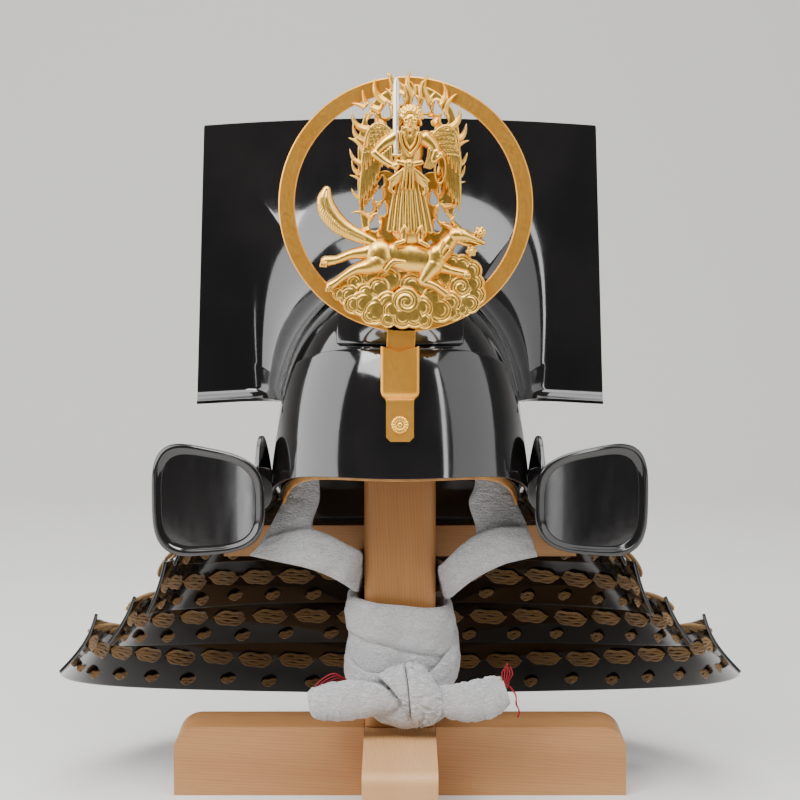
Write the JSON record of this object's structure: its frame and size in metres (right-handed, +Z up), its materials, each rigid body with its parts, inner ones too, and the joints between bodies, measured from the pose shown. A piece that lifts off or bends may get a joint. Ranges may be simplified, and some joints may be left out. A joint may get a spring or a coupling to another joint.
{
  "type": "kabuto samurai helmet on wooden stand",
  "caption": "Half-size display samurai helmet with a valley board, turned-back flaps, laced neck guard, ring crest and chin cord tied to its wooden stand.",
  "frame": {"origin": "centre of the stand's footprint, on its underside", "axes": "+Z up, the helmet faces -Y, +X to the right of a front view"},
  "size_m": [0.3236, 0.214, 0.3409],
  "materials": {
    "lacquer": "gloss black lacquer",
    "gilt": "satin gilt, brighter on the cast relief",
    "timber": "planed pale cypress, satin",
    "crepe": "white silk crepe, matt",
    "lacing": "braided old-gold silk",
    "leather": "orange-brown deerskin edge",
    "red_silk": "red sewing thread"
  },
  "bodies": {
    "root": {"bowl_left_plate": "lacquer", "bowl_right_plate": "lacquer", "bowl_crown_plate": "lacquer", "brow_plate": "lacquer", "valley_board": "lacquer", "neck_plate_1": "lacquer", "neck_plate_2": "lacquer", "neck_plate_3": "lacquer", "neck_plate_4": "lacquer", "neck_plate_5": "lacquer", "flap_left": "lacquer", "flap_right": "lacquer", "crest_ring": "gilt", "crest_flames": "gilt", "crest_wings": "gilt", "crest_fox": "gilt", "crest_guardian": "gilt", "crest_cloud": "gilt", "crest_socket": "gilt", "socket_rosette": "gilt", "stand_board": "timber", "stand_foot": "timber", "stand_post": "timber", "stand_bar": "timber", "stand_head_block": "timber", "cord_wrap_1": "crepe", "cord_wrap_2": "crepe", "cord_knot": "crepe", "cord_tail_left": "crepe", "cord_tail_right": "crepe", "cord_strap_left": "crepe", "cord_strap_right": "crepe", "lace_row_2": "lacing", "lace_row_3": "lacing", "lace_row_4": "lacing", "lace_row_5": "lacing", "lining_edge": "leather"}
  },
  "joints": []
}
